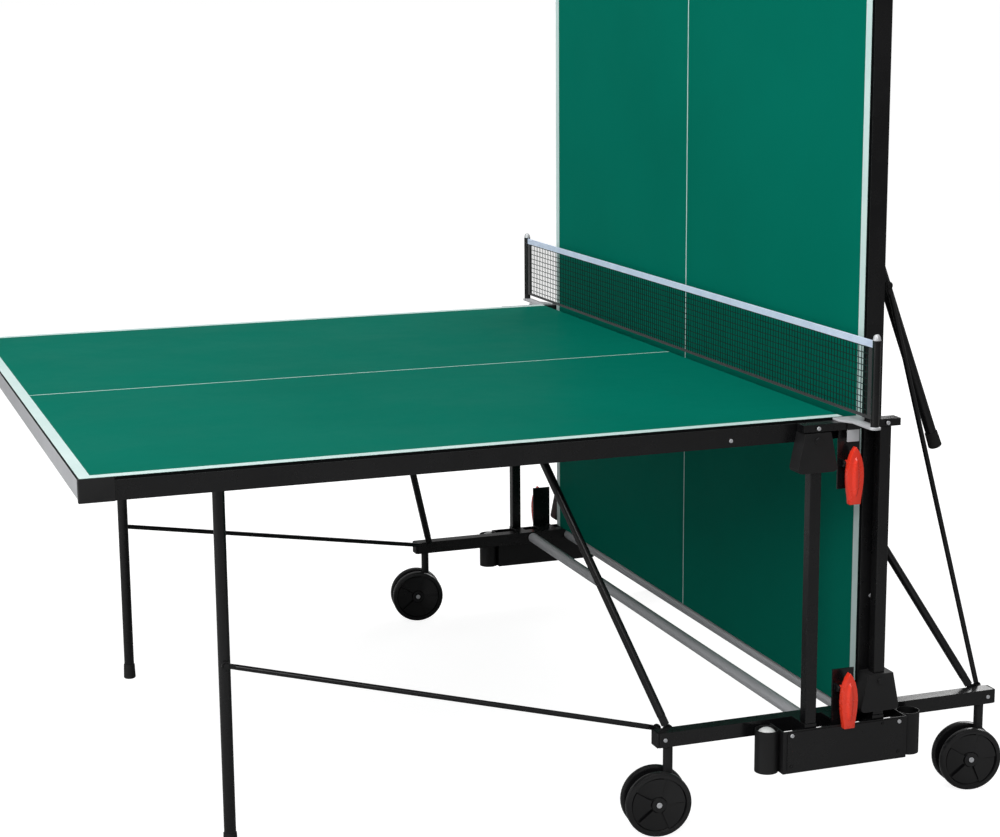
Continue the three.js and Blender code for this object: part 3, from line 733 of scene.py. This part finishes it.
# %% [markdown]
# The second disc of a pair is the first one mirrored, and its normals are recalculated, because a
# mirror turns a closed shape inside out. The axle, and a bright bolt head in each hub, complete it. The
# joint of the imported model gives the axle's direction.

# %% Wheels and axle bolts
joint_of_child = {j["child"]: j for j in frame["joints"]}


def build_wheel(corner):
    node = f"{corner}_caster_wheel"
    low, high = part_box(node)
    centre = (low + high) / 2
    axle = Vector(joint_of_child[f"{corner}_wheel"]["axis"]).normalized()
    stand = axes_at(centre, Vector((0, 0, 1)).cross(-axle).normalized(), axle, Vector((0, 0, 1)))
    bm = wheel_half()
    bmesh.ops.mirror(bm, geom=bm.verts[:] + bm.edges[:] + bm.faces[:], matrix=Matrix.Identity(4),
                     merge_dist=0.0, axis="Y")
    shaft = bmesh.ops.create_cone(bm, cap_ends=True, segments=24, radius1=AXLE_RADIUS,
                                  radius2=AXLE_RADIUS, depth=AXLE_LENGTH)["verts"]
    bmesh.ops.rotate(bm, cent=(0, 0, 0), matrix=Matrix.Rotation(math.pi / 2, 3, "X"), verts=shaft)
    stand_at(bm, stand)
    wheel = new_object(f"{corner}_twin_wheel", bm, wheel_plastic)
    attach(wheel, f"{corner}_wheel")
    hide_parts(node)
    heads = [(centre + axle * s * HUB_FACE, axle * s) for s in (-1, 1)]
    screws(f"{corner}_axle_bolts", f"{corner}_wheel", heads, 5.2 * MM, 1.6 * MM, zinc_steel)
    return wheel


for side in SIDES:
    for end in ENDS:
        wheel = build_wheel(f"{side}_{end}")
        print(wheel.name, len(wheel.data.polygons), "faces")

# %% [markdown]
# ## The latch levers
#
# A red lever is a flat grip with a pointed head, and a long raised ridge that a finger pulls on. The
# rounded solid gives the grip. The ridge is an ellipse pushed outwards and drawn in at its top, with a
# soft edge, and it is joined into the same mesh.

# %% Latch levers
RIDGE_HALF_WIDTH, RIDGE_HALF_LENGTH = 8.5 * MM, 38 * MM
RIDGE_HEIGHT = 4.2 * MM
RIDGE_SINK = 0.6 * MM
RIDGE_ABOVE_TIP = 50 * MM


def lever_ridge(bm, centre, sign):
    made = bmesh.ops.create_circle(bm, cap_ends=True, segments=28, radius=1)["verts"]
    bmesh.ops.scale(bm, vec=(RIDGE_HALF_WIDTH, RIDGE_HALF_LENGTH, 1), verts=made)
    face = made[0].link_faces[0]
    grown = bmesh.ops.extrude_face_region(bm, geom=[face], use_keep_orig=True)["geom"]
    crest = [g for g in grown if isinstance(g, bmesh.types.BMVert)]
    bmesh.ops.translate(bm, vec=(0, 0, RIDGE_HEIGHT), verts=crest)
    bmesh.ops.scale(bm, vec=(0.32, 0.80, 1), verts=crest)
    ring = set(made) | set(crest)
    rim = [e for e in bm.edges if all(v in crest for v in e.verts) and e.is_manifold]
    soft = soften(bm, rim, 1.0 * MM, 3)
    ring = {v for v in ring if v.is_valid} | set(soft)
    stand = axes_at(centre, Vector((1, 0, 0)), Vector((0, 0, -sign)), Vector((0, sign, 0)))
    bmesh.ops.transform(bm, matrix=stand, verts=list(ring))


for level in ("upper", "lower"):
    for end, sign in OUTWARD.items():
        node = f"{level}_lever_{end}"
        low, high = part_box(node)
        bm = rounded_copy(node, 1.6 * MM)
        outer_y = low.y if sign < 0 else high.y
        lever_ridge(bm, Vector((MID_X, outer_y - sign * RIDGE_SINK, low.z + RIDGE_ABOVE_TIP)), sign)
        bmesh.ops.recalc_face_normals(bm, faces=bm.faces[:])
        lever = new_object(f"{level}_latch_lever_{end}", bm, red_plastic)
        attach(lever, body_of_node[node])
        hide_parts(node)
        print(lever.name, len(lever.data.polygons), "faces")

# %% [markdown]
# ## The net posts
#
# A zinc clamp plate reaches out from the flat bar and carries a black upright with a pale knob. Its tab
# goes down past the bar, where it is black, and comes out pale below it. They are one solid in the
# frame. So the copy is cut level with the bar's bottom, and each face takes its finish by its place.

# %% Net posts
PLATE_TOP = TOP_Z + 2 * MM
KNOB_FROM = net_high.z - 1 * MM
BAR_DEPTH = 14 * MM
for end in ENDS:
    node = f"net_post_{end}"
    bar_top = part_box(f"top_bar_{end}")[1].z
    bar_bottom = bar_top - BAR_DEPTH
    bm = rounded_copy(node, 0.6 * MM)
    bmesh.ops.bisect_plane(bm, geom=bm.verts[:] + bm.edges[:] + bm.faces[:],
                           plane_co=(0, 0, bar_bottom), plane_no=(0, 0, 1))
    post = new_object(f"{node}_finished", bm, zinc_steel, black_steel)
    for polygon in post.data.polygons:
        upright = PLATE_TOP < polygon.center.z < KNOB_FROM
        past_bar = bar_bottom < polygon.center.z < bar_top
        polygon.material_index = 1 if upright or past_bar else 0
    even_normals(post)
    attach(post, "undercarriage")
    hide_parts(node)
    print(post.name, sum(p.material_index for p in post.data.polygons), "black faces")

# %% [markdown]
# ## Finishes for the net
#
# The net is thin dark green thread. Its tape is a woven white cotton strip with a faint blue cast, and
# its sleeves are black woven cloth. A weave is two sets of waves, one across the other, used for relief
# and for painted shade: the hollows between the threads are coloured darker than the crowns.

# %% Weave
weave_group, given, result = make_group(
    "Plain weave",
    [("Vector", VECTOR, None), ("Scale", FLOAT, 700.0)],
    [("Height", FLOAT)],
)
threads = []
for axis in ("Y", "Z"):
    wave = add_node(weave_group, "ShaderNodeTexWave", {"bands_direction": axis}, {"Distortion": 0.6})
    weave_group.links.new(given.outputs["Vector"], wave.inputs["Vector"])
    weave_group.links.new(given.outputs["Scale"], wave.inputs["Scale"])
    threads.append(wave)
crossing = add_node(weave_group, "ShaderNodeMath", {"operation": "MAXIMUM"})
weave_group.links.new(threads[0].outputs["Fac"], crossing.inputs[0])
weave_group.links.new(threads[1].outputs["Fac"], crossing.inputs[1])
weave_group.links.new(crossing.outputs[0], result.inputs["Height"])


def make_cloth(name, colour, shade, scale, sheen):
    cloth = bpy.data.materials.new(name)
    cloth.use_nodes = True
    tree = cloth.node_tree
    shader = tree.nodes["Principled BSDF"]
    shader.inputs["Sheen Weight"].default_value = sheen
    shader.inputs["Specular IOR Level"].default_value = 0.2
    place = add_node(tree, "ShaderNodeTexCoord")
    weave = place_group(tree, weave_group, {"Scale": scale})
    tone = place_group(tree, tone_group, {"Color": (*colour, 1), "Shade": (*shade, 1), "Scale": 30.0})
    # Painted shade: where the weave is low, between the threads, the colour turns to the darker shade.
    weave_hollow_shade = add_node(tree, "ShaderNodeMix", {"data_type": "RGBA"})
    weave_hollow_shade.inputs[6].default_value = (*shade, 1)
    marks = place_group(tree, marks_group, {"Scale": 60.0, "Low": 0.8, "High": 0.95})
    relief = add_node(tree, "ShaderNodeBump", values={"Strength": 0.4, "Distance": 0.0003})
    for effect in (weave, tone, marks):
        tree.links.new(place.outputs["Object"], effect.inputs["Vector"])
    tree.links.new(weave.outputs["Height"], weave_hollow_shade.inputs["Factor"])
    tree.links.new(tone.outputs["Color"], weave_hollow_shade.inputs[7])
    tree.links.new(weave_hollow_shade.outputs[2], shader.inputs["Base Color"])
    tree.links.new(marks.outputs["Roughness"], shader.inputs["Roughness"])
    tree.links.new(weave.outputs["Height"], relief.inputs["Height"])
    tree.links.new(relief.outputs["Normal"], shader.inputs["Normal"])
    return cloth


net_thread = make_cloth("dark_green_thread", (0.002, 0.022, 0.017), (0.001, 0.014, 0.011), 2500.0, 0.0)
white_tape = make_cloth("white_cotton_tape", (0.62, 0.71, 0.85), (0.54, 0.63, 0.79), 900.0, 0.1)
black_cloth = make_cloth("black_woven_sleeve", (0.016, 0.016, 0.018), (0.010, 0.010, 0.011), 900.0, 0.2)
print("cloth finishes ready")

# %% [markdown]
# ## The net
#
# The mesh is real thread and not a picture of one, so it is open from every side. A flat grid has one
# face for each opening, and the wireframe operator turns its edges into threads. It hangs stretched
# between the posts, below the tape. The area stated for it later is half of the threads' whole surface,
# side faces included. It comes from this mesh, so it can't show whether the net was stretched.

# %% Net mesh
CELL = 11 * MM
THREAD = 1.7 * MM
TAPE_HEIGHT = 12.5 * MM
HEM_HEIGHT = 5 * MM
net_length = net_high.y - net_low.y
mesh_low, mesh_high = net_low.z + 2 * MM, net_high.z - 3 * MM
columns = round(net_length / CELL)
rows = round((mesh_high - mesh_low) / CELL)

bm = bmesh.new()
made = bmesh.ops.create_grid(bm, x_segments=columns, y_segments=rows, size=0.5)["verts"]
bmesh.ops.scale(bm, vec=(net_length, mesh_high - mesh_low, 1), verts=made)
bmesh.ops.wireframe(bm, faces=bm.faces[:], thickness=THREAD, use_boundary=True, use_even_offset=True,
                    use_replace=True)
stand = axes_at((MID_X, 0, (mesh_low + mesh_high) / 2), Vector((0, 1, 0)), Vector((0, 0, 1)),
                Vector((1, 0, 0)))
stand_at(bm, stand)
half_surface = sum(f.calc_area() for f in bm.faces) / 2
net = new_object("net_mesh", bm, net_thread)
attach(net, "undercarriage")
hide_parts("net")
print(columns, "by", rows, "openings, half the surface is", round(half_surface, 4), "square metres")

# %% [markdown]
# ## Tape, hem and pockets
#
# The tape is a strip of cotton folded over the top cord, so both sides of the net show a white band.
# The hem along the bottom is the same fold in dark cloth, upside down, and a black pocket at each end
# takes the post's hook. All four are one shape: the section of a fold, drawn out along its edge.

# %% Folded strips
CLOTH = 0.5 * MM
FOLD_EDGE = 0.5 * MM
POCKET = 17 * MM
X_AXIS, Y_AXIS, Z_AXIS = Vector((1, 0, 0)), Vector((0, 1, 0)), Vector((0, 0, 1))


def folded_strip(name, middle, outward, along, length, depth, half_gap, finish):
    section = [(-half_gap, -depth), (-half_gap, -FOLD_EDGE), (-0.5 * half_gap, 0), (0.5 * half_gap, 0),
               (half_gap, -FOLD_EDGE), (half_gap, -depth)]
    bm = bmesh.new()
    points = [bm.verts.new((x, z, -length / 2)) for x, z in section]
    edges = [bm.edges.new(pair) for pair in zip(points, points[1:])]
    grown = bmesh.ops.extrude_edge_only(bm, edges=edges)["geom"]
    far_side = [g for g in grown if isinstance(g, bmesh.types.BMVert)]
    bmesh.ops.translate(bm, vec=(0, 0, length), verts=far_side)
    stand_at(bm, axes_at(middle, X_AXIS, outward, along))
    strip = new_object(name, bm, finish)
    for polygon in strip.data.polygons:
        polygon.use_smooth = False
    thick = strip.modifiers.new("cloth_thickness", "SOLIDIFY")
    thick.thickness = CLOTH
    thick.offset = 0
    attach(strip, "undercarriage")


folded_strip("net_tape", (MID_X, 0, net_high.z), Z_AXIS, Y_AXIS, net_length, TAPE_HEIGHT, 1.5 * MM,
             white_tape)
folded_strip("net_hem", (MID_X, 0, net_low.z), -Z_AXIS, Y_AXIS, net_length, HEM_HEIGHT, 1.4 * MM,
             black_cloth)
pocket_low, pocket_high = net_low.z + HEM_HEIGHT, net_high.z - TAPE_HEIGHT
for end, edge_y, outward in (("near", net_low.y, -Y_AXIS), ("far", net_high.y, Y_AXIS)):
    folded_strip(f"net_pocket_{end}", (MID_X, edge_y, (pocket_low + pocket_high) / 2), outward, Z_AXIS,
                 pocket_high - pocket_low, POCKET, 1.5 * MM, black_cloth)

# %% [markdown]
# ## Rail end caps and balls
#
# Each undercarriage rail is closed by a plastic cap with rounded edges. The left ball tube of each
# holder has a ball in it. It is a subdivided icosahedron, which is rounder for its faces than a sphere
# of rings and has no pinched poles.

# %% Rail end caps
RAIL_Y = 728 * MM
RAIL_CAP_HALF = 14 * MM
RAIL_CAP_THICK = 4 * MM
RAIL_CAP_ROUND = 1.6 * MM
RAIL_CAP_OUT = 2.2 * MM
for end, sign in OUTWARD.items():
    low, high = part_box(f"undercarriage_rail_{end}")
    rail_y = sign * RAIL_Y
    rail_z = low.z + RAIL_MIDDLE
    for label, x, way in (("left", low.x, -1), ("right", high.x, 1)):
        bm = bmesh.new()
        bmesh.ops.create_grid(bm, x_segments=1, y_segments=1, size=RAIL_CAP_HALF)
        bmesh.ops.solidify(bm, geom=bm.faces[:], thickness=RAIL_CAP_THICK)
        centre_z = sum(v.co.z for v in bm.verts) / len(bm.verts)
        bmesh.ops.translate(bm, vec=(0, 0, -centre_z), verts=bm.verts[:])
        bmesh.ops.recalc_face_normals(bm, faces=bm.faces[:])
        soften(bm, bm.edges[:], RAIL_CAP_ROUND, 3)
        stand_at(bm, axes_at((x + way * RAIL_CAP_OUT, rail_y, rail_z), Y_AXIS, Z_AXIS, X_AXIS))
        cap = new_object(f"rail_cap_{label}_{end}", bm, black_plastic)
        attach(cap, "undercarriage")
print("four rail caps")

# %% Balls
BALL_RADIUS = 20 * MM
BALL_X, BALL_Y = 147 * MM, 768 * MM
BALL_DEPTH = 17 * MM
ball_plastic = make_finish("white_ball_plastic", (0.80, 0.81, 0.80), (0.74, 0.75, 0.74), (0.38, 0.48),
                           grain_scale=900, grain_height=0.05, dust=0.0)
for end, sign in OUTWARD.items():
    bm = bmesh.new()
    bmesh.ops.create_icosphere(bm, subdivisions=4, radius=BALL_RADIUS)
    spot = (MID_X - BALL_X, sign * BALL_Y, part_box(f"bat_holder_{end}")[1].z - BALL_DEPTH)
    bmesh.ops.translate(bm, vec=spot, verts=bm.verts[:])
    ball = new_object(f"ball_{end}", bm, ball_plastic)
    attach(ball, "undercarriage")
    print(ball.name, "top at", round(spot[2] + BALL_RADIUS, 4))

# %% [markdown]
# ## Floor and light
#
# The floor is one broad pale face that fills the view to the horizon. A pure white sweep would throw so
# much light back at the black steel that it turned grey. So the floor and the surrounding light are
# only bright for the eye that looks at them, and light the table more gently. The Light Path node tells
# the two apart.

# %% Floor
FLOOR_REACH = 900
floor_paint = bpy.data.materials.new("pale_floor")
floor_paint.use_nodes = True
tree = floor_paint.node_tree
shader = tree.nodes["Principled BSDF"]
shader.inputs["Base Color"].default_value = (0.38, 0.38, 0.38, 1)
shader.inputs["Roughness"].default_value = 0.9
shader.inputs["Specular IOR Level"].default_value = 0.0
shader.inputs["Emission Strength"].default_value = 0.9
ray = add_node(tree, "ShaderNodeLightPath")
tree.links.new(ray.outputs["Is Camera Ray"], shader.inputs["Emission Color"])
bm = bmesh.new()
bmesh.ops.create_grid(bm, x_segments=1, y_segments=1, size=FLOOR_REACH)
floor = new_object("floor", bm, floor_paint)
print("the floor reaches", FLOOR_REACH, "m each way")

# %% [markdown]
# A broad soft lamp high on the left is the main light. A weaker one low on the left draws the long
# highlights on the round legs. A third stands high at the front, above where the upright black faces
# would mirror it, so it brings out the red levers and the black edges stay black. A fourth, behind,
# shows the back of the upright half to whoever walks round it.

# %% Light
world = bpy.data.worlds.new("studio")
bpy.context.scene.world = world
world.use_nodes = True
tree = world.node_tree
gentle = tree.nodes["Background"]
gentle.inputs["Color"].default_value = (1, 1, 1, 1)
gentle.inputs["Strength"].default_value = 0.28
white = add_node(tree, "ShaderNodeBackground", values={"Color": (1, 1, 1, 1), "Strength": 1.0})
ray = add_node(tree, "ShaderNodeLightPath")
choose = add_node(tree, "ShaderNodeMixShader")
tree.links.new(ray.outputs["Is Camera Ray"], choose.inputs["Fac"])
tree.links.new(gentle.outputs["Background"], choose.inputs[1])
tree.links.new(white.outputs["Background"], choose.inputs[2])
tree.links.new(choose.outputs["Shader"], tree.nodes["World Output"].inputs["Surface"])


def soft_lamp(name, place, target, size, power):
    lamp = bpy.data.objects.new(name, bpy.data.lights.new(name, "AREA"))
    lamp.data.shape = "SQUARE"
    lamp.data.size = size
    lamp.data.energy = power
    lamp.location = place
    lamp.rotation_mode = "QUATERNION"
    lamp.rotation_quaternion = (Vector(target) - Vector(place)).to_track_quat("-Z", "Y")
    bpy.context.scene.collection.objects.link(lamp)


soft_lamp("high_lamp", (-2.2, -0.6, 4.6), (0, 0, 0.6), 4.0, 165)
soft_lamp("low_lamp", (-4.6, -1.2, 1.6), (0, 0, 0.7), 2.4, 60)
soft_lamp("front_lamp", (-1.6, -5.4, 4.4), (0.3, 0, 0.5), 3.0, 150)
soft_lamp("rear_lamp", (4.6, 3.4, 3.4), (0.5, 0, 0.7), 3.0, 110)
bpy.context.scene.view_settings.view_transform = "Standard"
print("four lamps and a surrounding light")
